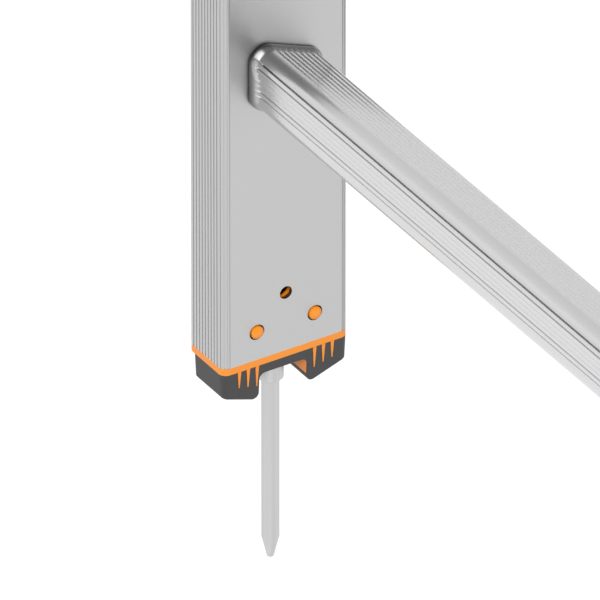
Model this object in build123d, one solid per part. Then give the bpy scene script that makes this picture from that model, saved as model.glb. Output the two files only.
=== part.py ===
"""Foot end of an aluminium ladder.

A ribbed box stile carries a ribbed rung and, in its lower end, a two-colour plastic foot with two snap
buttons and a screwed-in steel ground spike. X runs along the stile's wide faces, the rung leaves along -Y,
and +Z is up the stile. Every piece is drawn with Z counted from the stile's lower end, and the last lines
shift all of them so that the origin is the middle of the cross bolt hole.
"""
from build123d import *
import math
import os

# Stile: extruded box tube, ribbed round its narrow sides.
STILE_DEPTH = 56.5
STILE_WIDTH = 25.0
STILE_WALL = 1.8
STILE_CORNER = 3.3
STILE_ABOVE_RUNG = 38.0
STILE_GROOVE_PITCH = 2.1
STILE_GROOVE_WIDTH = 0.8
STILE_GROOVE_DEPTH = 0.2
STILE_CORNER_GROOVES = (23, 50, 68, 85)
STILE_CORNER_GROOVE_WIDTH = 0.5
STILE_CORNER_GROOVE_DEPTH = 0.2

# Cross bolt hole through the stile and the foot.
CROSS_HOLE_RADIUS = 2.75
CROSS_HOLE_HEIGHT = 25.95

# Rung: extruded tube whose tread lies level when the ladder leans.
RUNG_WIDTH = 30.0
RUNG_OFFSET = -0.65
RUNG_HEIGHT = 113.55
RUNG_DEPTH = 22.7
RUNG_TREAD_TILT = 22.0
RUNG_CORNER = 6.0
RUNG_WALL = 2.4
RUNG_REACH = 250.0
RUNG_HOLE_CLEARANCE = 0.15
TREAD_RIBS = 7
TREAD_RIB_PITCH = 2.72
TREAD_RIBS_OFFSET = 3.0
TREAD_GROOVE_WIDTH = 1.3
TREAD_GROOVE_DEPTH = 0.7
SIDE_GROOVE_PITCH = 2.4
SIDE_GROOVE_WIDTH = 0.9
SIDE_GROOVE_FIRST = 3.2
TALL_SIDE_GROOVE_DEPTHS = (1.5, 0.75, 0.2, 0.2, 0.25, 0.55, 0.55)
SHORT_SIDE_GROOVE_DEPTH = 0.4
BEAD_GROWTH = 1.25
BEAD_BAND = 4.2
BEAD_SLOPE = 20.0
RIM_GROWTH = 2.2
RIM_HEIGHT = 2.0
RIM_CHAMFER = 0.8

# Foot: flange under the stile, plug inside it, boot with two legs and an arch below.
FLANGE_HEIGHT = 2.95
PLUG_HEIGHT = 40.35
PLUG_CLEARANCE = 0.2
PLUG_WALL = 1.7
PLUG_FLOOR = 3.5
PLUG_LEAD_IN = 1.0
CAVITY_CORNER = 1.0
BOLT_BOSS_WALL = 2.75
BOLT_BOSS_GAP = 4.0
FOOT_SETOFF = -1.2
BOOT_END_INSET = 0.1
BOOT_SIDE_INSET = 1.3
BOOT_DRAFT = 2.5
BOOT_CORNER = 2.9
BOOT_EDGE_CHAMFER = 0.6
BOOT_LEAST_CORNER = 0.4
ARCH_OFFSET = -0.65
ARCH_HALF_WIDTH = 10.7
STRIP_HEIGHT = 4.6
ARCH_CORNER = 2.6
LEG_LENGTH = 11.75
LEG_CORNER = 2.5
SOLE_TILT = 19.0
SOLE_THICKNESS = 4.2
SKIN_THICKNESS = 1.0
FINGERS = 3
FINGER_FIRST = 12.9
FINGER_PITCH = 3.97
FINGER_LENGTH = 9.2
FINGER_LENGTH_STEP = 0.95
FINGER_TOP_WIDTH = 1.55
FINGER_TIP_WIDTH = 0.4
FINGER_PROUD = 0.2

# Snap latches: a button on a tongue that hinges at its rounded root.
LATCH_SPACING = 26.0
LATCH_HEIGHT = 12.45
BUTTON_RADIUS = 2.7
BUTTON_HOLE_CLEARANCE = 0.6
BUTTON_PROUD = 2.0
BUTTON_DOME = 1.5
TONGUE_WIDTH = 9.0
TONGUE_THICKNESS = 2.0
TONGUE_SETBACK = 1.1
TONGUE_TAIL = 4.5
TONGUE_ROOT_DROP = 6.0
ROOT_RADIUS = 1.5
ROOT_CLEARANCE = 0.05
WINDOW_CLEARANCE = 0.5
WINDOW_TAIL_GAP = 1.6
SOCKET_WALL = 1.8
SOCKET_DROP = 2.6
NECK_FRONT_GAP = 0.15
NECK_SWING_GAP = 1.2

# Ground spike, its nut and its spring washer.
SPIKE_RADIUS = 3.5
SPIKE_SHAFT_LENGTH = 72.1
SPIKE_CONE_LENGTH = 9.5
SPIKE_TIP_RADIUS = 1.45
SPIKE_TIP_CHAMFER = 0.5
COLLAR_RADIUS = 5.2
COLLAR_HEIGHT = 9.3
COLLAR_CHAMFER = 0.5
THREAD_RADIUS = 3.95
THREAD_STICK_OUT = 2.0
THREAD_CHAMFER = 0.6
THREAD_CLEARANCE = 0.05
SHANK_HOLE_CLEARANCE = 0.3
NUT_ACROSS_FLATS = 13.0
NUT_HEIGHT = 6.5
NUT_CHAMFER = 0.9
NUT_POCKET_CLEARANCE = 0.1
WASHER_RING_WIDTH = 0.85
WASHER_THICKNESS = 1.2
WASHER_HOLE_CLEARANCE = 0.2
WASHER_SLIT = 0.8

# Sizes that follow from the driving dimensions.
NEAR = 0.05
RUNG_LEFT = RUNG_OFFSET - RUNG_WIDTH / 2
RUNG_RIGHT = RUNG_OFFSET + RUNG_WIDTH / 2
RUNG_SLOPE = math.tan(math.radians(RUNG_TREAD_TILT))
RUNG_TREAD_HEIGHT = RUNG_HEIGHT + RUNG_DEPTH
STILE_REACH = RUNG_TREAD_HEIGHT - RUNG_LEFT * RUNG_SLOPE + STILE_ABOVE_RUNG
FRONT_FACE = -STILE_WIDTH / 2
BACK_FACE = STILE_WIDTH / 2
PLUG_FRONT = FRONT_FACE + STILE_WALL + PLUG_CLEARANCE
PLUG_DEPTH = STILE_DEPTH - 2 * (STILE_WALL + PLUG_CLEARANCE)
PLUG_BREADTH = STILE_WIDTH - 2 * (STILE_WALL + PLUG_CLEARANCE)
STILE_INNER_CORNER = STILE_CORNER - STILE_WALL
TONGUE_FRONT = PLUG_FRONT + TONGUE_SETBACK
TONGUE_MIDDLE = TONGUE_FRONT + TONGUE_THICKNESS / 2
TONGUE_ROOT_HEIGHT = PLUG_HEIGHT - TONGUE_ROOT_DROP
ARCH_TOP = FLANGE_HEIGHT + STRIP_HEIGHT
LEG_DROP = ARCH_TOP + LEG_LENGTH
WASHER_BOTTOM = -ARCH_TOP - WASHER_THICKNESS
WASHER_RADIUS = THREAD_RADIUS + WASHER_HOLE_CLEARANCE + WASHER_RING_WIDTH
COLLAR_BOTTOM = WASHER_BOTTOM - COLLAR_HEIGHT
SPIKE_CONE_TOP = COLLAR_BOTTOM - SPIKE_SHAFT_LENGTH
SPIKE_TIP = SPIKE_CONE_TOP - SPIKE_CONE_LENGTH
NUT_SEAT = PLUG_FLOOR - NUT_HEIGHT


def upright(section, low, high):
    """Section in the XY plane, extruded from one height to another."""
    return Pos(0, 0, low) * extrude(section, high - low)


def crosswise(section, front, back):
    """Section drawn in X and Z, extruded between two places along Y."""
    return extrude(Plane.XZ.offset(-back) * section, back - front)


def bar_along_y(radius, x, z, front, back):
    """Round bar along Y."""
    return crosswise(Pos(x, z) * Circle(radius), front, back)


def bar_along_x(radius, length, x, y, z):
    """Round bar along X, centred on a point."""
    return Pos(x, y, z) * Rot(0, 90, 0) * Cylinder(radius, length)


def block(x, half_width, front, back, low, high):
    """Box centred on x, between two places along Y and two heights."""
    return Pos(x, (front + back) / 2, (low + high) / 2) * Box(2 * half_width, back - front, high - low)


# Stile

def stile_grooves():
    """Groove cutters on both narrow sides: broad ones along the flat and fine ones round the corners."""
    end = STILE_DEPTH / 2
    flat_half = STILE_WIDTH / 2 - STILE_CORNER
    count = int(flat_half / STILE_GROOVE_PITCH)
    broad = Rectangle(2 * STILE_GROOVE_DEPTH, STILE_GROOVE_WIDTH)
    fine = Pos(STILE_CORNER, 0) * Rectangle(2 * STILE_CORNER_GROOVE_DEPTH, STILE_CORNER_GROOVE_WIDTH)
    cutters = []
    for step in range(-count, count + 1):
        y = step * STILE_GROOVE_PITCH
        cutters += [Pos(end, y) * broad, Pos(-end, y) * broad]
    for turn in STILE_CORNER_GROOVES:
        for side in (-1, 1):
            cutters.append(Pos(end - STILE_CORNER, side * flat_half) * Rot(0, 0, side * turn) * fine)
            cutters.append(Pos(STILE_CORNER - end, side * flat_half) * Rot(0, 0, 180 - side * turn) * fine)
    return cutters


def make_stile():
    """Ribbed box tube with the rung's hole through it and the foot's three holes."""
    section = RectangleRounded(STILE_DEPTH, STILE_WIDTH, STILE_CORNER) - stile_grooves()
    section -= RectangleRounded(
        STILE_DEPTH - 2 * STILE_WALL, STILE_WIDTH - 2 * STILE_WALL, STILE_INNER_CORNER
    )
    stile = upright(section, 0, STILE_REACH)
    stile -= bar_along_y(CROSS_HOLE_RADIUS, 0, CROSS_HOLE_HEIGHT, 2 * FRONT_FACE, 2 * BACK_FACE)
    for side in (-1, 1):
        hole_radius = BUTTON_RADIUS + BUTTON_HOLE_CLEARANCE
        stile -= bar_along_y(hole_radius, side * LATCH_SPACING / 2, LATCH_HEIGHT, 2 * FRONT_FACE, 0)
    stile -= crosswise(rung_outline(RUNG_HOLE_CLEARANCE), 2 * FRONT_FACE, 2 * BACK_FACE)
    return stile


# Rung

def rung_outline(growth):
    """Smooth outline of the rung, grown by a distance: upright sides, level bottom, sloping tread."""
    left = RUNG_LEFT - growth
    right = RUNG_RIGHT + growth
    bottom = RUNG_HEIGHT - growth
    tread = RUNG_TREAD_HEIGHT + growth / math.cos(math.radians(RUNG_TREAD_TILT))
    corners = [
        (left, bottom),
        (right, bottom),
        (right, tread - right * RUNG_SLOPE),
        (left, tread - left * RUNG_SLOPE),
    ]
    outline = Polygon(*corners, align=None)
    return fillet(outline.vertices(), RUNG_CORNER + growth)


def tread_grooves():
    """Groove cutters that leave the tread's ribs standing between them."""
    cutter = Rectangle(TREAD_GROOVE_WIDTH, 2 * TREAD_GROOVE_DEPTH)
    cosine = math.cos(math.radians(RUNG_TREAD_TILT))
    cutters = []
    for step in range(TREAD_RIBS + 1):
        x = RUNG_OFFSET + TREAD_RIBS_OFFSET + (step - TREAD_RIBS / 2) * TREAD_RIB_PITCH * cosine
        z = RUNG_TREAD_HEIGHT - x * RUNG_SLOPE
        cutters.append(Pos(x, z) * Rot(0, 0, -RUNG_TREAD_TILT) * cutter)
    return cutters


def side_grooves():
    """Groove cutters down the tall side, from partway up its top corner, and on the short side's flat."""
    half_angle = math.radians(90 - RUNG_TREAD_TILT) / 2
    tall_top = RUNG_TREAD_HEIGHT - RUNG_LEFT * RUNG_SLOPE - RUNG_CORNER / math.tan(half_angle)
    cutters = []
    for step, depth in enumerate(TALL_SIDE_GROOVE_DEPTHS):
        run = SIDE_GROOVE_FIRST - step * SIDE_GROOVE_PITCH
        turn = max(0.0, run) / RUNG_CORNER
        x = RUNG_LEFT + RUNG_CORNER * (1 - math.cos(turn))
        z = tall_top + min(0.0, run) + RUNG_CORNER * math.sin(turn)
        cutters.append(Pos(x, z) * Rot(0, 0, -math.degrees(turn)) * Rectangle(2 * depth, SIDE_GROOVE_WIDTH))
    short_top = RUNG_TREAD_HEIGHT - RUNG_RIGHT * RUNG_SLOPE - RUNG_CORNER * math.tan(half_angle)
    short_bottom = RUNG_HEIGHT + RUNG_CORNER
    short_count = int((short_top - short_bottom) / SIDE_GROOVE_PITCH) + 1
    for step in range(short_count):
        z = (short_top + short_bottom) / 2 + (step - (short_count - 1) / 2) * SIDE_GROOVE_PITCH
        cutters.append(Pos(RUNG_RIGHT, z) * Rectangle(2 * SHORT_SIDE_GROOVE_DEPTH, SIDE_GROOVE_WIDTH))
    return cutters


def make_rung():
    """Ribbed tube through the stile, bulged to a bead inside and spread to a rim outside."""
    tube_front = FRONT_FACE - RUNG_REACH
    tube_back = BACK_FACE + RIM_HEIGHT
    rung = crosswise(rung_outline(0) - tread_grooves() - side_grooves(), tube_front, tube_back)
    bead = crosswise(rung_outline(BEAD_GROWTH), FRONT_FACE - BEAD_BAND, FRONT_FACE)
    slope_reach = (BEAD_GROWTH + max(TALL_SIDE_GROOVE_DEPTHS)) / math.tan(math.radians(BEAD_SLOPE))
    slope_start = Plane.XZ.offset(BEAD_BAND - FRONT_FACE) * rung_outline(BEAD_GROWTH)
    slope = extrude(slope_start, slope_reach, dir=(0, -1, 0), taper=BEAD_SLOPE)
    rim = crosswise(rung_outline(RIM_GROWTH), BACK_FACE, tube_back)
    rim = chamfer(rim.faces().sort_by(Axis.Y)[-1].edges(), RIM_CHAMFER)
    rung += [bead, slope, rim]
    return rung - crosswise(rung_outline(-RUNG_WALL), tube_front - RIM_HEIGHT, tube_back + RIM_HEIGHT)


# Foot

def boot_block(inset, lift):
    """Drafted block below the flange with both sloping soles, drawn in at the sides and lifted below."""
    length = STILE_DEPTH - 2 * (BOOT_END_INSET + inset)
    breadth = STILE_WIDTH - 2 * (BOOT_SIDE_INSET + inset)
    draft_loss = LEG_DROP * math.tan(math.radians(BOOT_DRAFT))
    corner = max(BOOT_CORNER - inset, draft_loss + BOOT_LEAST_CORNER)
    plan = Pos(0, FOOT_SETOFF, -FLANGE_HEIGHT) * RectangleRounded(length, breadth, corner)
    body = extrude(plan, LEG_DROP, dir=(0, 0, -1), taper=BOOT_DRAFT)
    outer = STILE_DEPTH
    low = -LEG_DROP + lift / math.cos(math.radians(SOLE_TILT))
    rise = (outer - ARCH_HALF_WIDTH) * math.tan(math.radians(SOLE_TILT))
    corners = [
        (-outer, -FLANGE_HEIGHT),
        (-outer, low + rise),
        (-ARCH_HALF_WIDTH, low),
        (ARCH_HALF_WIDTH, low),
        (outer, low + rise),
        (outer, -FLANGE_HEIGHT),
    ]
    wedge = Pos(ARCH_OFFSET, 0) * Polygon(*corners, align=None)
    return body & crosswise(wedge, 2 * FRONT_FACE, 2 * BACK_FACE)


def arch_space():
    """Space under the arch between the legs, with rounded upper corners."""
    height = 2 * LEG_DROP
    opening = RectangleRounded(2 * ARCH_HALF_WIDTH, height, ARCH_CORNER)
    return crosswise(Pos(ARCH_OFFSET, -ARCH_TOP - height / 2) * opening, 2 * FRONT_FACE, 2 * BACK_FACE)


def soft_boot():
    """Whole boot with its arch, its lower edges bevelled all the way round."""
    boot = boot_block(0, 0) - arch_space()
    leg_edges = boot.edges().filter_by(Axis.Y).filter_by_position(Axis.Z, -LEG_DROP - NEAR, -LEG_DROP + NEAR)
    boot = fillet(leg_edges, LEG_CORNER)
    return chamfer(boot.edges().filter_by(is_lower_outline), BOOT_EDGE_CHAMFER)


def is_lower_outline(edge):
    """True for an edge round the boot's lower outline, not for a line across its underside."""
    across = abs((edge @ 1 - edge @ 0).Y) > STILE_WIDTH / 2
    inside = abs(edge.center().X) < STILE_DEPTH / 2 - STILE_CORNER
    below_flange = edge.bounding_box().max.Z < -FLANGE_HEIGHT - NEAR
    return below_flange and not (across and inside)


def finger_prisms():
    """Tapering bars through the boot, one for each pair of front and back fingers."""
    prisms = []
    for number in range(FINGERS):
        place = FINGER_FIRST + number * FINGER_PITCH
        tip = -FLANGE_HEIGHT - FINGER_LENGTH + number * FINGER_LENGTH_STEP
        corners = [
            (place - FINGER_TOP_WIDTH / 2, -FLANGE_HEIGHT),
            (place - FINGER_TIP_WIDTH / 2, tip),
            (place + FINGER_TIP_WIDTH / 2, tip),
            (place + FINGER_TOP_WIDTH / 2, -FLANGE_HEIGHT),
        ]
        prism = crosswise(Polygon(*corners, align=None), 2 * FRONT_FACE, 2 * BACK_FACE)
        prisms += [prism, mirror(prism, about=Plane.YZ)]
    return prisms


def make_foot_sole():
    """Soft skin round the boot, open at the top and on the legs' inner faces, pierced by the fingers."""
    return soft_boot() - boot_block(SKIN_THICKNESS, SOLE_THICKNESS) - finger_prisms()


def latch_window(x):
    """Opening in the plug for one latch: the tongue's window, its root's socket and the neck's swing room."""
    half_width = TONGUE_WIDTH / 2 + WINDOW_CLEARANCE
    low = LATCH_HEIGHT - TONGUE_TAIL - WINDOW_TAIL_GAP
    neck_low = TONGUE_ROOT_HEIGHT - SOCKET_DROP
    window = block(x, half_width, PLUG_FRONT - STILE_WALL, PLUG_FRONT + PLUG_WALL, low, neck_low)
    socket = bar_along_x(ROOT_RADIUS + ROOT_CLEARANCE, 2 * half_width, x, TONGUE_MIDDLE, TONGUE_ROOT_HEIGHT)
    neck = block(
        x,
        half_width,
        TONGUE_FRONT - NECK_FRONT_GAP,
        TONGUE_FRONT + TONGUE_THICKNESS + NECK_SWING_GAP,
        neck_low - SOCKET_DROP,
        TONGUE_ROOT_HEIGHT,
    )
    return [window, socket, neck]


def latch_socket_bar(x):
    """Thick part of the plug's front wall that holds one latch's root."""
    return block(
        x,
        TONGUE_WIDTH / 2 + WINDOW_CLEARANCE + SOCKET_WALL,
        PLUG_FRONT,
        TONGUE_MIDDLE + ROOT_RADIUS + SOCKET_WALL,
        TONGUE_ROOT_HEIGHT - SOCKET_DROP,
        TONGUE_ROOT_HEIGHT + ROOT_RADIUS + SOCKET_WALL,
    )


def make_foot_core():
    """Hard moulding: flange, hollow plug with a bolt boss on its back wall, leg cores and fingers."""
    flange = upright(RectangleRounded(STILE_DEPTH, STILE_WIDTH, STILE_CORNER), -FLANGE_HEIGHT, 0)
    plug_corner = STILE_INNER_CORNER - PLUG_CLEARANCE
    plug = upright(RectangleRounded(PLUG_DEPTH, PLUG_BREADTH, plug_corner), 0, PLUG_HEIGHT)
    plug = chamfer(plug.faces().sort_by(Axis.Z)[-1].edges(), PLUG_LEAD_IN)
    cavity_section = RectangleRounded(PLUG_DEPTH - 2 * PLUG_WALL, PLUG_BREADTH - 2 * PLUG_WALL, CAVITY_CORNER)
    plug -= upright(cavity_section, PLUG_FLOOR, PLUG_HEIGHT)
    boss_radius = CROSS_HOLE_RADIUS + BOLT_BOSS_WALL
    boss_front = PLUG_FRONT + PLUG_WALL + BOLT_BOSS_GAP
    plug += bar_along_y(boss_radius, 0, CROSS_HOLE_HEIGHT, boss_front, -PLUG_FRONT)
    legs = boot_block(SKIN_THICKNESS, SOLE_THICKNESS) - arch_space()
    fingers = [prism & boot_block(-FINGER_PROUD, 0) for prism in finger_prisms()]
    core = flange + plug + legs + fingers
    for side in (-1, 1):
        core += latch_socket_bar(side * LATCH_SPACING / 2)
        core -= latch_window(side * LATCH_SPACING / 2)
    core -= bar_along_y(CROSS_HOLE_RADIUS, 0, CROSS_HOLE_HEIGHT, 2 * FRONT_FACE, 2 * BACK_FACE)
    shank_hole = Circle(THREAD_RADIUS + SHANK_HOLE_CLEARANCE)
    core -= upright(Pos(0, FOOT_SETOFF) * shank_hole, -LEG_DROP, PLUG_FLOOR)
    pocket = RegularPolygon(NUT_ACROSS_FLATS / 2 + NUT_POCKET_CLEARANCE, 6, major_radius=False, rotation=30)
    return core - upright(Pos(0, FOOT_SETOFF) * pocket, NUT_SEAT, PLUG_FLOOR)


# Snap latches

def make_latch(x):
    """Spring tongue with a rounded root and a round button with a domed end."""
    low = LATCH_HEIGHT - TONGUE_TAIL
    tongue = block(
        x, TONGUE_WIDTH / 2, TONGUE_FRONT, TONGUE_FRONT + TONGUE_THICKNESS, low, TONGUE_ROOT_HEIGHT
    )
    tongue += bar_along_x(ROOT_RADIUS, TONGUE_WIDTH, x, TONGUE_MIDDLE, TONGUE_ROOT_HEIGHT)
    tip = (0, FRONT_FACE - BUTTON_PROUD)
    rim = (BUTTON_RADIUS, FRONT_FACE - BUTTON_PROUD + BUTTON_DOME)
    outline = Polyline(rim, (BUTTON_RADIUS, TONGUE_MIDDLE), (0, TONGUE_MIDDLE), tip)
    outline += TangentArc(tip, rim, tangent=(1, 0))
    button = revolve(make_face(outline), Axis.Y)
    return tongue + Pos(x, 0, LATCH_HEIGHT) * button


# Ground spike

def make_spike():
    """Turned spike: threaded shank, collar, straight shaft and blunt cone."""
    top = PLUG_FLOOR + THREAD_STICK_OUT
    outline = [
        (0, top),
        (THREAD_RADIUS, top),
        (THREAD_RADIUS, WASHER_BOTTOM),
        (COLLAR_RADIUS, WASHER_BOTTOM),
        (COLLAR_RADIUS, COLLAR_BOTTOM),
        (SPIKE_RADIUS, COLLAR_BOTTOM),
        (SPIKE_RADIUS, SPIKE_CONE_TOP),
        (SPIKE_TIP_RADIUS, SPIKE_TIP),
        (0, SPIKE_TIP),
    ]
    half = Polygon(*outline, align=None)
    half = chamfer(half.vertices().filter_by(is_at(THREAD_RADIUS, top)), THREAD_CHAMFER)
    half = chamfer(half.vertices().filter_by(is_at(COLLAR_RADIUS, COLLAR_BOTTOM)), COLLAR_CHAMFER)
    half = chamfer(half.vertices().filter_by(is_at(SPIKE_TIP_RADIUS, SPIKE_TIP)), SPIKE_TIP_CHAMFER)
    return Pos(0, FOOT_SETOFF, 0) * revolve(Plane.XZ * half, Axis.Z)


def is_at(x, y):
    """Test for a sketch corner at a place."""
    return lambda vertex: math.hypot(vertex.X - x, vertex.Y - y) < NEAR


def make_spike_nut():
    """Hexagon nut in the core's pocket, its corners chamfered."""
    hexagon = RegularPolygon(NUT_ACROSS_FLATS / 2, 6, major_radius=False, rotation=30)
    corner_radius = NUT_ACROSS_FLATS / math.sqrt(3)
    round_limit = Pos(0, 0, NUT_HEIGHT / 2) * Cylinder(corner_radius + NUT_CHAMFER / 2, NUT_HEIGHT)
    round_limit = chamfer(round_limit.edges().filter_by(GeomType.CIRCLE), NUT_CHAMFER)
    nut = extrude(hexagon - Circle(THREAD_RADIUS + THREAD_CLEARANCE), NUT_HEIGHT) & round_limit
    return Pos(0, FOOT_SETOFF, NUT_SEAT) * nut


def make_spring_washer():
    """Split washer between the arch and the spike's collar."""
    ring = Circle(WASHER_RADIUS) - Circle(THREAD_RADIUS + WASHER_HOLE_CLEARANCE)
    ring -= Pos(0, WASHER_RADIUS) * Rectangle(WASHER_SLIT, 2 * (WASHER_RADIUS - THREAD_RADIUS))
    return Pos(0, FOOT_SETOFF, 0) * upright(ring, WASHER_BOTTOM, -ARCH_TOP)


os.makedirs("parts", exist_ok=True)
PIECES = {
    "stile": make_stile(),
    "rung": make_rung(),
    "foot_core": make_foot_core(),
    "foot_sole": make_foot_sole(),
    "left_latch": make_latch(-LATCH_SPACING / 2),
    "right_latch": make_latch(LATCH_SPACING / 2),
    "spike": make_spike(),
    "spike_nut": make_spike_nut(),
    "spring_washer": make_spring_washer(),
}
for name, piece in PIECES.items():
    export_step(Pos(0, 0, -CROSS_HOLE_HEIGHT) * piece, f"parts/{name}.step")
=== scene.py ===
"""Looks of the ladder foot: extruded aluminium, a two-colour moulded foot and a turned steel spike."""
import math

import bpy
import numpy as np
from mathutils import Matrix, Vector


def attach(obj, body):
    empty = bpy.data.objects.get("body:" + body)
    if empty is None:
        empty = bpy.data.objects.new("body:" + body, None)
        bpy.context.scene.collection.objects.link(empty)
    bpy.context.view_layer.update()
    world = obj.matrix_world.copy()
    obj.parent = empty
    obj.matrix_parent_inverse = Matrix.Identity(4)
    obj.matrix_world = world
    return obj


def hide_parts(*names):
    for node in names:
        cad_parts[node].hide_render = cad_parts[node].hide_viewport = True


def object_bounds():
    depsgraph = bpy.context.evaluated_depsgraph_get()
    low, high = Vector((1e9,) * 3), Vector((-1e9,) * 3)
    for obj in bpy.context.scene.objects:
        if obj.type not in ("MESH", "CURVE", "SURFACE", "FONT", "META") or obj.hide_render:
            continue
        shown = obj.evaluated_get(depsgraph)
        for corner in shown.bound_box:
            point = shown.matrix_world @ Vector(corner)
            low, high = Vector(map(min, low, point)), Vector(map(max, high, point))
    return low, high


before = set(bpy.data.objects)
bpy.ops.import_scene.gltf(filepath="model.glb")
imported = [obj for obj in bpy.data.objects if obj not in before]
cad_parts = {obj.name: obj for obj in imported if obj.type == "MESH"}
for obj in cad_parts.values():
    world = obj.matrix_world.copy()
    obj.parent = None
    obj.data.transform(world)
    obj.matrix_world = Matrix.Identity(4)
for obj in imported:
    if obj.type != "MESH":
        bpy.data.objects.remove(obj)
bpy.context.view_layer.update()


# Stile: box tube of aluminium alloy, pressed hot through a die that also ribs its narrow sides.
# It is anodised, which etches the die's lines to an even satin, then cut off and drilled.
MM = 0.001
STILE_COLOUR = "#BCBCBC"
STILE_ROUGHNESS = (0.36, 0.42)
# Real die lines are finer than this: they are drawn as coarse as they need to be to show.
DIE_LINE = 0.3 * MM
DIE_LINE_STRETCH = 100.0
DIE_RELIEF = 0.01 * MM
DIE_RELIEF_STRENGTH = 0.1


def linear(hex_colour):
    """sRGB hex value as linear red, green, blue and alpha."""
    parts = [int(hex_colour[start:start + 2], 16) / 255 for start in (1, 3, 5)]
    return [part / 12.92 if part <= 0.04045 else ((part + 0.055) / 1.055) ** 2.4 for part in parts] + [1.0]


def add_node(tree, kind, inputs=None, **settings):
    """Adds a node with its settings, and fills each named input with a number or another node's output."""
    node = tree.nodes.new(kind)
    for name, value in settings.items():
        setattr(node, name, value)
    for name, value in (inputs or {}).items():
        if isinstance(value, bpy.types.NodeSocket):
            tree.links.new(value, node.inputs[name])
        else:
            node.inputs[name].default_value = value
    return node


def new_material(name):
    """Empty node material with its tree and its output node."""
    material = bpy.data.materials.new(name)
    material.use_nodes = True
    tree = material.node_tree
    tree.nodes.clear()
    return material, tree, add_node(tree, "ShaderNodeOutputMaterial")


def dress(node_name, material):
    """Gives a CAD node's object one material."""
    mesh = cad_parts[node_name].data
    mesh.materials.clear()
    mesh.materials.append(material)


def extruded_aluminium(name, colour, roughness, along):
    """Satin extruded aluminium and its shader: die lines along one axis vary its gloss and relief."""
    material, tree, output = new_material(name)
    place = add_node(tree, "ShaderNodeTexCoord")
    squeeze = [1.0, 1.0, 1.0]
    squeeze["xyz".index(along)] = 1 / DIE_LINE_STRETCH
    drawn_out = add_node(
        tree, "ShaderNodeMapping", {"Vector": place.outputs["Object"], "Scale": squeeze}
    )
    lines = add_node(
        tree, "ShaderNodeTexNoise",
        {"Vector": drawn_out.outputs["Vector"], "Scale": 1 / DIE_LINE, "Detail": 3.0},
    )
    gloss = add_node(
        tree, "ShaderNodeMapRange",
        {"Value": lines.outputs["Fac"], "To Min": roughness[0], "To Max": roughness[1]},
    )
    relief = add_node(
        tree, "ShaderNodeBump",
        {"Height": lines.outputs["Fac"], "Strength": DIE_RELIEF_STRENGTH, "Distance": DIE_RELIEF},
    )
    metal = add_node(
        tree, "ShaderNodeBsdfPrincipled",
        {
            "Base Color": linear(colour),
            "Metallic": 1.0,
            "Roughness": gloss.outputs["Result"],
            "Normal": relief.outputs["Normal"],
        },
    )
    tree.links.new(metal.outputs["BSDF"], output.inputs["Surface"])
    return material, metal


# Anodised aluminium: an even pale grey satin that shows the rung as a soft blur.
anodised_aluminium, _ = extruded_aluminium("anodised_aluminium", STILE_COLOUR, STILE_ROUGHNESS, "z")
dress("stile", anodised_aluminium)


# Rung: aluminium tube pressed with a ribbed tread and fluted sides, pushed through the stile.
# It is swaged outwards to a rolled bead in front of the stile and spread to a rim behind it,
# so that it can't turn. Sizes are in millimetres, with heights above the cross bolt hole.
RUNG_COLOUR = "#CFCFCF"
RUNG_ROUGHNESS = (0.2, 0.28)
# Painted shade: the dark grey that the rung's colour turns to in the crease at its root, and how far past
# the stile's faces it fades out.
CREASE_PAINTED_SHADE = "#666666"
CREASE_PAINTED_SHADE_REACH = 6.0
RUNG_LEFT = -15.65
RUNG_RIGHT = 14.35
RUNG_BOTTOM = 87.6
RUNG_TREAD = 110.3
RUNG_TILT = math.radians(22.0)
RUNG_CORNER = 6.0
RUNG_WALL = 2.4
OUTLINE_STEP = 0.068
TREAD_RIBS = 7
TREAD_RIB_PITCH = 2.72
TREAD_MIDDLE = 2.35
TREAD_GROOVE = (1.3, 0.57)
SIDE_GROOVE_PITCH = 2.4
SIDE_GROOVE_FIRST = 3.2
SIDE_GROOVE_WIDTH = 0.9
TALL_SIDE_GROOVE_DEPTHS = (1.5, 0.75, 0.2, 0.2, 0.25, 0.55, 0.55)
SHORT_SIDE_GROOVE_DEPTH = 0.4
BEAD_START = 0.6
BEAD_GROWTH = 1.25
BEAD_CREST = 1.0
BEAD_END_TREAD = 5.0
BEAD_END_SIDE = 7.5
BEAD_EASE = 5.0
BEAD_STEP = 0.25
GROOVE_OPENS = 0.5
GROOVE_OPENING = 0.7
RIM_GROWTH = 2.2
RIM_ROUND = 1.0
ROUND_EDGE_STEPS = 7
SHARP_EDGE = math.radians(50)
# A Mix node has a set of sockets for each kind of value, so those for colours go by number.
MIX_SHARE, MIX_FIRST, MIX_SECOND, MIX_RESULT = 0, 6, 7, 2


def even_shares(length, step):
    """Shares of a length from 0 up to, but without, 1: whole numbers divided by the steps that it needs."""
    count = math.ceil(length / step)
    return np.arange(count) / count


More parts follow.
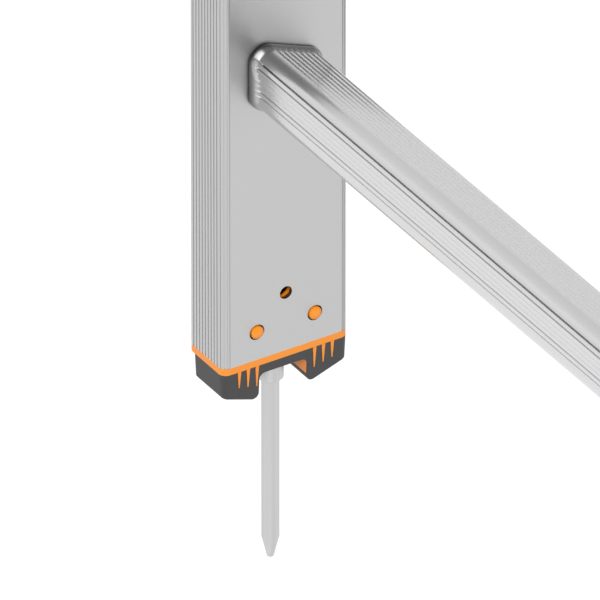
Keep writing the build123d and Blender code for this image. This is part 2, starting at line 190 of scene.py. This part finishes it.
def rounded_outline(corners, radius, step):
    """Closed polygon with arcs for corners: points, outward normals, runs to each point and each stretch.

    Each corner's arc touches both edges at radius times the tangent of half its turn, and its points are
    its centre plus the radius times the outward normal. A straight stretch leads from each arc to the next.
    """
    corners = np.array(corners)
    ahead = np.roll(corners, -1, axis=0) - corners
    ahead /= np.linalg.norm(ahead, axis=1)[:, None]
    behind = np.roll(ahead, 1, axis=0)
    turn = np.arccos(np.sum(ahead * behind, axis=1))
    trim = (radius * np.tan(turn / 2))[:, None]
    arc_start = corners - behind * trim
    arc_end = corners + ahead * trim
    points, normals, starts = [], [], []
    run = 0.0
    for corner in range(len(corners)):
        following = (corner + 1) % len(corners)
        out = np.array([ahead[corner][1], -ahead[corner][0]])
        stretch = arc_start[following] - arc_end[corner]
        length = np.linalg.norm(stretch)
        shares = even_shares(length, step)[:, None]
        points.append(arc_end[corner] + stretch * shares)
        normals.append(np.repeat(out[None], len(shares), axis=0))
        arc = radius * turn[following]
        sweep = even_shares(arc, step) * turn[following] + math.atan2(out[1], out[0])
        round_out = np.stack([np.cos(sweep), np.sin(sweep)], axis=1)
        points.append(arc_start[following] - radius * out + radius * round_out)
        normals.append(round_out)
        starts += [run, run + length]
        run += length + arc
    points, normals = np.concatenate(points), np.concatenate(normals)
    runs = np.concatenate([[0], np.cumsum(np.linalg.norm(np.diff(points, axis=0), axis=1))])
    return points, normals, runs, starts


def smooth(t):
    """Eased step from 0 to 1: three t squared less two t cubed, with t held between 0 and 1."""
    t = np.clip(t, 0, 1)
    return t * t * (3 - 2 * t)


def groove_depth(runs, centre, size):
    """Depth of one round-edged groove on the outline: full in its middle half, eased to 0 at its edges."""
    width, depth = size
    return depth * smooth((width / 2 - np.abs(runs - centre)) / (width / 4))


def quarter_round(out, along, radius, way):
    """Quarter circle for a rounded edge: its centre plus radius times cosine outwards and sine along."""
    turn = np.linspace(0, np.pi / 2, ROUND_EDGE_STEPS)
    return np.stack([out + radius * np.cos(turn), along + way * radius * np.sin(turn)], axis=1)


def closed_faces(loops, points):
    """Quads of a grid whose loops and whose points along each loop both close on themselves."""
    grid = np.arange(loops * points).reshape(loops, points)
    along = np.roll(grid, -1, axis=1)
    corners = [grid, along, np.roll(along, -1, axis=0), np.roll(grid, -1, axis=0)]
    return np.stack(corners, axis=-1).reshape(-1, 4)


def cad_reach(node_name, axis):
    """Lowest and highest place of a CAD node along one axis, in millimetres."""
    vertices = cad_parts[node_name].data.vertices
    places = np.empty(3 * len(vertices), dtype=np.float32)
    vertices.foreach_get("co", places)
    along = places["xyz".index(axis)::3]
    return float(along.min()) / MM, float(along.max()) / MM


def add_piece(name, vertices, faces, material, body, slot, *replaced):
    """Smooth mesh piece in millimetres, sharp at its real edges, set on its body in place of CAD nodes."""
    mesh = bpy.data.meshes.new(name)
    mesh.from_pydata(vertices * MM, [], faces)
    mesh.polygons.foreach_set("use_smooth", np.ones(len(faces), dtype=bool))
    mesh.set_sharp_from_angle(angle=SHARP_EDGE)
    mesh.materials.append(material)
    piece = bpy.data.objects.new(name, mesh)
    bpy.context.scene.collection.objects.link(piece)
    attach(piece, body)
    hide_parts(*replaced)


slope = math.tan(RUNG_TILT)
outline, outward, runs, starts = rounded_outline(
    [
        (RUNG_LEFT, RUNG_BOTTOM),
        (RUNG_RIGHT, RUNG_BOTTOM),
        (RUNG_RIGHT, RUNG_TREAD - RUNG_RIGHT * slope),
        (RUNG_LEFT, RUNG_TREAD - RUNG_LEFT * slope),
    ],
    RUNG_CORNER,
    OUTLINE_STEP,
)
short_start, short_end, tread_start, _, tall_start = starts[2:7]

# Depth of the grooves round the outline: between the tread's ribs, down the tall side in several depths and
# down the short side all alike.
grooves = np.zeros_like(runs)
tread_x = outline[np.searchsorted(runs, tread_start), 0]
for number in range(TREAD_RIBS + 1):
    groove_x = TREAD_MIDDLE + (number - TREAD_RIBS / 2) * TREAD_RIB_PITCH * math.cos(RUNG_TILT)
    centre = tread_start + (tread_x - groove_x) / math.cos(RUNG_TILT)
    grooves += groove_depth(runs, centre, TREAD_GROOVE)
for number, depth in enumerate(TALL_SIDE_GROOVE_DEPTHS):
    centre = tall_start - SIDE_GROOVE_FIRST + number * SIDE_GROOVE_PITCH
    grooves += groove_depth(runs, centre, (SIDE_GROOVE_WIDTH, depth))
short_count = int((short_end - short_start) / SIDE_GROOVE_PITCH) + 1
for number in range(short_count):
    centre = (short_start + short_end) / 2 + (number - (short_count - 1) / 2) * SIDE_GROOVE_PITCH
    grooves += groove_depth(runs, centre, (SIDE_GROOVE_WIDTH, SHORT_SIDE_GROOVE_DEPTH))

# The bead is a roll: it rises from the stile to a crest by a sine and eases away, steeply over the tread
# and its two shoulders and more gently down the sides. Under it the grooves are pressed flat, and they
# open again on its outer slope.
over_tread = smooth((runs - short_end) / BEAD_EASE + 1) * smooth((tall_start - runs) / BEAD_EASE + 1)
bead_end = BEAD_END_SIDE + (BEAD_END_TREAD - BEAD_END_SIDE) * over_tread[None]
open_end = BEAD_END_SIDE * (GROOVE_OPENS + GROOVE_OPENING)
ahead = np.append(np.arange(open_end, 0, -BEAD_STEP), 0.0)[:, None]
rise = BEAD_START + (BEAD_GROWTH - BEAD_START) * np.sin(np.pi / 2 * np.clip(ahead / BEAD_CREST, 0, 1))
fall = BEAD_GROWTH * smooth((ahead - BEAD_CREST) / (bead_end - BEAD_CREST))
opened = smooth((ahead / bead_end - GROOVE_OPENS) / GROOVE_OPENING)
bead = rise - fall - grooves[None] * opened

# The tube's loops start at its cut end, pass over the bead, through the stile and round the rim, and lead
# back along the inside. Each is the outline moved out or in by its offsets, at one place along the rung.
stile_front, stile_back = cad_reach("stile", "y")
rung_end, rim_end = cad_reach("rung", "y")
plain = -grooves[None]
rim_edge = quarter_round(RIM_GROWTH - RIM_ROUND, rim_end - RIM_ROUND, RIM_ROUND, 1)
rim = np.repeat(rim_edge[:, :1], len(runs), axis=1)
inside = np.full((2, len(runs)), -RUNG_WALL)
offsets = np.concatenate([plain, bead, plain, plain, rim[:1], rim, inside])
places = np.concatenate([
    [rung_end],
    stile_front - ahead[:, 0],
    [stile_front, stile_back, stile_back],
    rim_edge[:, 1],
    [rim_end, rung_end],
])
section = outline[None] + outward[None] * offsets[:, :, None]
along = np.repeat(places[:, None], len(runs), axis=1)
rung_vertices = np.stack([section[:, :, 0], along, section[:, :, 1]], axis=-1)

# Mill-finish aluminium: brighter and glossier than the anodised stile, so it picks up dark and light lines.
# Next to the stile, on either side, its colour is darkened towards a dark grey in the crease round the bead
# and the rim: painted shade.
mill_aluminium, metal = extruded_aluminium("mill_aluminium", RUNG_COLOUR, RUNG_ROUGHNESS, "y")
tree = mill_aluminium.node_tree
place = add_node(tree, "ShaderNodeTexCoord")
apart = add_node(tree, "ShaderNodeSeparateXYZ", {"Vector": place.outputs["Object"]})
from_middle = add_node(tree, "ShaderNodeMath", {0: apart.outputs["Y"]}, operation="ABSOLUTE")
# Painted shade: the share of dark grey is full at the stile's faces and eases to nothing at the reach
# beyond them.
painted_shade = add_node(
    tree, "ShaderNodeMapRange",
    {
        "Value": from_middle.outputs["Value"],
        "From Min": stile_back * MM,
        "From Max": (stile_back + CREASE_PAINTED_SHADE_REACH) * MM,
        "To Min": 1.0,
        "To Max": 0.0,
    },
    interpolation_type="SMOOTHSTEP",
)
# The painted shade mixed into the rung's base colour.
painted_shade_colour = add_node(
    tree, "ShaderNodeMix",
    {MIX_SHARE: painted_shade.outputs["Result"], MIX_FIRST: linear(RUNG_COLOUR), MIX_SECOND: linear(CREASE_PAINTED_SHADE)},
    data_type="RGBA",
)
tree.links.new(painted_shade_colour.outputs[MIX_RESULT], metal.inputs["Base Color"])
add_piece(
    "rung_tube",
    rung_vertices.reshape(-1, 3),
    closed_faces(len(places), len(runs)),
    mill_aluminium,
    "ladder_end",
    "rung_aluminium",
    "rung",
)


# Foot core: hard orange polypropylene moulding with the flange, the plug, the legs' cores and the fingers.
# It is pushed into the stile's end, where its two latches snap into the stile's round holes.
CORE_COLOUR = "#C87512"
CORE_ROUGHNESS = (0.4, 0.5)
# The mould's real grain is finer than this: it is drawn as coarse as it needs to be to show.
MOULD_GRAIN = 0.4 * MM
MOULD_RELIEF = 0.03 * MM
MOULD_RELIEF_STRENGTH = 0.2


def moulded(name, colour, roughness):
    """Moulded plastic or rubber: an even colour with the fine grain of a spark-eroded mould."""
    material, tree, output = new_material(name)
    place = add_node(tree, "ShaderNodeTexCoord")
    grain = add_node(
        tree, "ShaderNodeTexNoise",
        {"Vector": place.outputs["Object"], "Scale": 1 / MOULD_GRAIN, "Detail": 2.0},
    )
    gloss = add_node(
        tree, "ShaderNodeMapRange",
        {"Value": grain.outputs["Fac"], "To Min": roughness[0], "To Max": roughness[1]},
    )
    relief = add_node(
        tree, "ShaderNodeBump",
        {"Height": grain.outputs["Fac"], "Strength": MOULD_RELIEF_STRENGTH, "Distance": MOULD_RELIEF},
    )
    plastic = add_node(
        tree, "ShaderNodeBsdfPrincipled",
        {
            "Base Color": linear(colour),
            "Roughness": gloss.outputs["Result"],
            "Normal": relief.outputs["Normal"],
        },
    )
    tree.links.new(plastic.outputs["BSDF"], output.inputs["Surface"])
    return material


# Orange polypropylene: a strong even orange with a soft sheen.
orange_plastic = moulded("orange_polypropylene", CORE_COLOUR, CORE_ROUGHNESS)
dress("foot_core", orange_plastic)


# Foot sole: soft grey thermoplastic rubber, moulded over the legs' cores as their skin, the strip over the
# arch and the two sloping soles. The core's fingers key it on.
SOLE_COLOUR = "#2C2C2C"
SOLE_ROUGHNESS = (0.5, 0.65)

# Thermoplastic rubber: a matt dark grey that hardly shines.
dress("foot_sole", moulded("grey_thermoplastic_rubber", SOLE_COLOUR, SOLE_ROUGHNESS))


# Snap latches: orange polypropylene tongues with a round button, one in each of the stile's holes.
# They are moulded with the core and take its finish.
for latch in ("left_latch", "right_latch"):
    dress(latch, orange_plastic)


# Spike nut and spring washer: zinc-plated steel, the nut pressed into the core's pocket, the washer split.
# The washer is squeezed between the spike's collar and the arch, so that the spike can't work loose.
ZINC_COLOURS = ("#B4B4B4", "#D4D4D4")
ZINC_ROUGHNESS = (0.4, 0.52)
# The plating's real grain is finer than this: it is drawn as coarse as it needs to be to show.
ZINC_GRAIN = 0.5 * MM
BAR_STREAK_WIDTH = 2.5 * MM
BAR_STREAK_LENGTH = 400.0 * MM


def zinc_plated_steel(name, colours, roughness):
    """Zinc-plated steel: a grey metal with faintly cloudy gloss, in soft streaks along the drawn bar."""
    material, tree, output = new_material(name)
    place = add_node(tree, "ShaderNodeTexCoord")
    cloud = add_node(
        tree, "ShaderNodeTexNoise",
        {"Vector": place.outputs["Object"], "Scale": 1 / ZINC_GRAIN, "Detail": 3.0},
    )
    gloss = add_node(
        tree, "ShaderNodeMapRange",
        {"Value": cloud.outputs["Fac"], "To Min": roughness[0], "To Max": roughness[1]},
    )
    along_bar = add_node(
        tree, "ShaderNodeMapping",
        {
            "Vector": place.outputs["Object"],
            "Scale": (1 / BAR_STREAK_WIDTH, 1 / BAR_STREAK_WIDTH, 1 / BAR_STREAK_LENGTH),
        },
    )
    streak = add_node(
        tree, "ShaderNodeTexNoise", {"Vector": along_bar.outputs["Vector"], "Scale": 1.0, "Detail": 1.0}
    )
    grey = add_node(
        tree, "ShaderNodeMix",
        {MIX_SHARE: streak.outputs["Fac"], MIX_FIRST: linear(colours[0]), MIX_SECOND: linear(colours[1])},
        data_type="RGBA",
    )
    metal = add_node(
        tree, "ShaderNodeBsdfPrincipled",
        {
            "Base Color": grey.outputs[MIX_RESULT],
            "Metallic": 1.0,
            "Roughness": gloss.outputs["Result"],
        },
    )
    tree.links.new(metal.outputs["BSDF"], output.inputs["Surface"])
    return material


# Zinc plating: dull and light grey, without the blue of a bright finish.
zinc = zinc_plated_steel("zinc_plated_steel", ZINC_COLOURS, ZINC_ROUGHNESS)
for fastener in ("spike_nut", "spring_washer"):
    dress(fastener, zinc)


# Spike: turned from round steel bar and zinc plated, with a thread above its collar and a blunt cone below.
# It screws up into the nut until its collar squeezes the washer, and is let down for soft ground.
SPIKE_SETOFF = -1.2
SPIKE_SIDES = 96
THREAD_STEP = 0.1
THREAD_RADIUS = 3.95
THREAD_DEPTH = 0.6
THREAD_PITCH = 1.25
THREAD_FLAT = 0.15
THREAD_LEAD_IN = 0.8
COLLAR_HEIGHT = 9.3
COLLAR_RADIUS = 5.2
COLLAR_ROUND = 0.8
SHAFT_RADIUS = 3.5
CONE_LENGTH = 9.5
TIP_RADIUS = 1.45
TIP_ROUND = 0.7


def revolved_faces(rows, columns):
    """Quads of a grid that closes round its columns and runs from the first row to the last."""
    grid = np.arange(rows * columns).reshape(rows, columns)
    along = np.roll(grid, -1, axis=1)
    return np.stack([grid[:-1], grid[1:], along[1:], along[:-1]], axis=-1).reshape(-1, 4)


# The thread is a zigzag with flat crests and roots: its depth follows the height in pitches less the turn,
# and is held under a short cone at the top. Below it are the collar, which meets the washer, the shaft and
# the cone, each a radius at a height.
tip, thread_top = cad_reach("spike", "z")
collar_top, _ = cad_reach("spring_washer", "z")
collar_bottom = collar_top - COLLAR_HEIGHT
shank_height = np.append(np.arange(thread_top, collar_top, -THREAD_STEP), collar_top)
around = np.arange(SPIKE_SIDES) / SPIKE_SIDES * 2 * np.pi
phase = (shank_height[:, None] / THREAD_PITCH - around[None] / (2 * np.pi)) % 1
zigzag = np.abs(2 * phase - 1)
cut = np.clip((1 + 2 * THREAD_FLAT) * zigzag - THREAD_FLAT, 0, 1)
lead_in = np.clip((thread_top - shank_height) / THREAD_LEAD_IN, 0, 1)[:, None]
shank_radius = THREAD_RADIUS - THREAD_DEPTH * np.maximum(cut, 1 - lead_in)
turned = np.concatenate([
    [[COLLAR_RADIUS, collar_top]],
    quarter_round(COLLAR_RADIUS - COLLAR_ROUND, collar_bottom + COLLAR_ROUND, COLLAR_ROUND, -1),
    [[SHAFT_RADIUS, collar_bottom], [SHAFT_RADIUS, tip + CONE_LENGTH]],
    quarter_round(TIP_RADIUS - TIP_ROUND, tip + TIP_ROUND, TIP_ROUND, -1),
])
on_axis = np.zeros((1, SPIKE_SIDES))
turned_radius = np.repeat(turned[:, :1], SPIKE_SIDES, axis=1)
spike_radius = np.concatenate([on_axis, shank_radius, turned_radius, on_axis])
spike_height = np.concatenate([[thread_top], shank_height, turned[:, 1], [tip]])
spike_vertices = np.stack(
    [
        spike_radius * np.cos(around),
        spike_radius * np.sin(around) + SPIKE_SETOFF,
        np.repeat(spike_height[:, None], SPIKE_SIDES, axis=1),
    ],
    axis=-1,
)
add_piece(
    "turned_spike",
    spike_vertices.reshape(-1, 3),
    revolved_faces(len(spike_height), SPIKE_SIDES),
    zinc,
    "spike",
    "spike_steel",
    "spike",
)


# Floor, light and camera: a plain white studio with a bright wall behind, two soft boxes and one key light,
# seen from far off through a long lens. Each part of the studio's light is a direction, with the cosines to
# it at which the light starts and is full.
STUDIO_WHITE = "#FFFFFF"
FLOOR_COLOUR = "#595959"
FLOOR_ROUGHNESS = 0.9
FLOOR_GLOW = 0.95
FLOOR_SIZE = 30.0
FLOOR_DROP = 10.0 * MM
WALL_STRENGTH = (0.35, 0.95)
BACK_WALL = ((-0.2, 0.98, 0.0), 0.05, 0.7)
SKIRTING = ((0.0, 0.0, -1.0), -0.4, -0.1)
SOFTBOX = ((-0.6, 0.1, 0.79), 0.83, 0.92)
SOFTBOX_STRENGTH = 2.2
FILL = ((0.69, -0.71, 0.14), 0.89, 0.98)
FILL_STRENGTH = 1.5
KEY_DIRECTION = Vector((-0.38, -0.6, 0.7)).normalized()
KEY_DISTANCE = 1.3
KEY_SIZE = 0.4
KEY_POWER = 19.0
CAMERA_LENS = 1680.0
CAMERA_SENSOR = 36.0
CAMERA_FRAME = 228.505 * MM
CAMERA_AIM = Vector((14.155, 0.0, -14.977)) * MM
CAMERA_TURN = math.radians(-32.126)
CAMERA_LIFT = math.radians(32.657)
CAMERA_FARTHEST = 100.0


def towards(tree, direction, light):
    """Brightness round one direction: eased up from 0 to 1 as the cosine to it goes from start to full."""
    aim, start, full = light
    cosine = add_node(tree, "ShaderNodeVectorMath", {0: direction, 1: aim}, operation="DOT_PRODUCT")
    brightness = add_node(
        tree, "ShaderNodeMapRange",
        {"Value": cosine.outputs["Value"], "From Min": start, "From Max": full},
        interpolation_type="SMOOTHSTEP",
    )
    return brightness.outputs["Result"]


# Matt floor paint that glows nearly white, so that the ground round the part is plain and pale.
half = FLOOR_SIZE / 2
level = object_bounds()[0].z - FLOOR_DROP
floor_corners = [(-half, -half, level), (half, -half, level), (half, half, level), (-half, half, level)]
floor_mesh = bpy.data.meshes.new("floor")
floor_mesh.from_pydata(floor_corners, [], [(0, 1, 2, 3)])
floor = bpy.data.objects.new("floor", floor_mesh)
bpy.context.scene.collection.objects.link(floor)
floor_paint, tree, output = new_material("floor_paint")
paint = add_node(
    tree, "ShaderNodeBsdfPrincipled",
    {
        "Base Color": linear(FLOOR_COLOUR),
        "Roughness": FLOOR_ROUGHNESS,
        "Emission Color": linear(STUDIO_WHITE),
        "Emission Strength": FLOOR_GLOW,
    },
)
tree.links.new(paint.outputs["BSDF"], output.inputs["Surface"])
floor_mesh.materials.append(floor_paint)

world = bpy.data.worlds.new("studio")
bpy.context.scene.world = world
world.use_nodes = True
tree = world.node_tree
direction = add_node(tree, "ShaderNodeTexCoord").outputs["Generated"]
walls = add_node(
    tree, "ShaderNodeMath",
    {0: towards(tree, direction, BACK_WALL), 1: towards(tree, direction, SKIRTING)},
    operation="MAXIMUM",
)
wall_strength = add_node(
    tree, "ShaderNodeMapRange",
    {"Value": walls.outputs["Value"], "To Min": WALL_STRENGTH[0], "To Max": WALL_STRENGTH[1]},
)
filled_in = add_node(
    tree, "ShaderNodeMath",
    {0: towards(tree, direction, FILL), 1: FILL_STRENGTH, 2: wall_strength.outputs["Result"]},
    operation="MULTIPLY_ADD",
)
strength = add_node(
    tree, "ShaderNodeMath",
    {0: towards(tree, direction, SOFTBOX), 1: SOFTBOX_STRENGTH, 2: filled_in.outputs["Value"]},
    operation="MULTIPLY_ADD",
)
background = tree.nodes["Background"]
background.inputs["Color"].default_value = linear(STUDIO_WHITE)
tree.links.new(strength.outputs["Value"], background.inputs["Strength"])

key_data = bpy.data.lights.new("key", "AREA")
key_data.shape = "DISK"
key_data.size = KEY_SIZE
key_data.energy = KEY_POWER
key = bpy.data.objects.new("key", key_data)
key.location = KEY_DIRECTION * KEY_DISTANCE
key.rotation_euler = KEY_DIRECTION.to_track_quat("Z", "Y").to_euler()
key.visible_camera = False
key.visible_glossy = False
bpy.context.scene.collection.objects.link(key)
bpy.context.scene.view_settings.view_transform = "Standard"

to_camera = Vector((
    math.sin(CAMERA_TURN) * math.cos(CAMERA_LIFT),
    -math.cos(CAMERA_TURN) * math.cos(CAMERA_LIFT),
    math.sin(CAMERA_LIFT),
))
camera_data = bpy.data.cameras.new("camera")
camera_data.lens = CAMERA_LENS
camera_data.sensor_width = CAMERA_SENSOR
camera_data.clip_end = CAMERA_FARTHEST
camera = bpy.data.objects.new("camera", camera_data)
camera.location = CAMERA_AIM + to_camera * (CAMERA_FRAME * CAMERA_LENS / CAMERA_SENSOR)
camera.rotation_euler = (-to_camera).to_track_quat("-Z", "Y").to_euler()
bpy.context.scene.collection.objects.link(camera)
bpy.context.scene.camera = camera
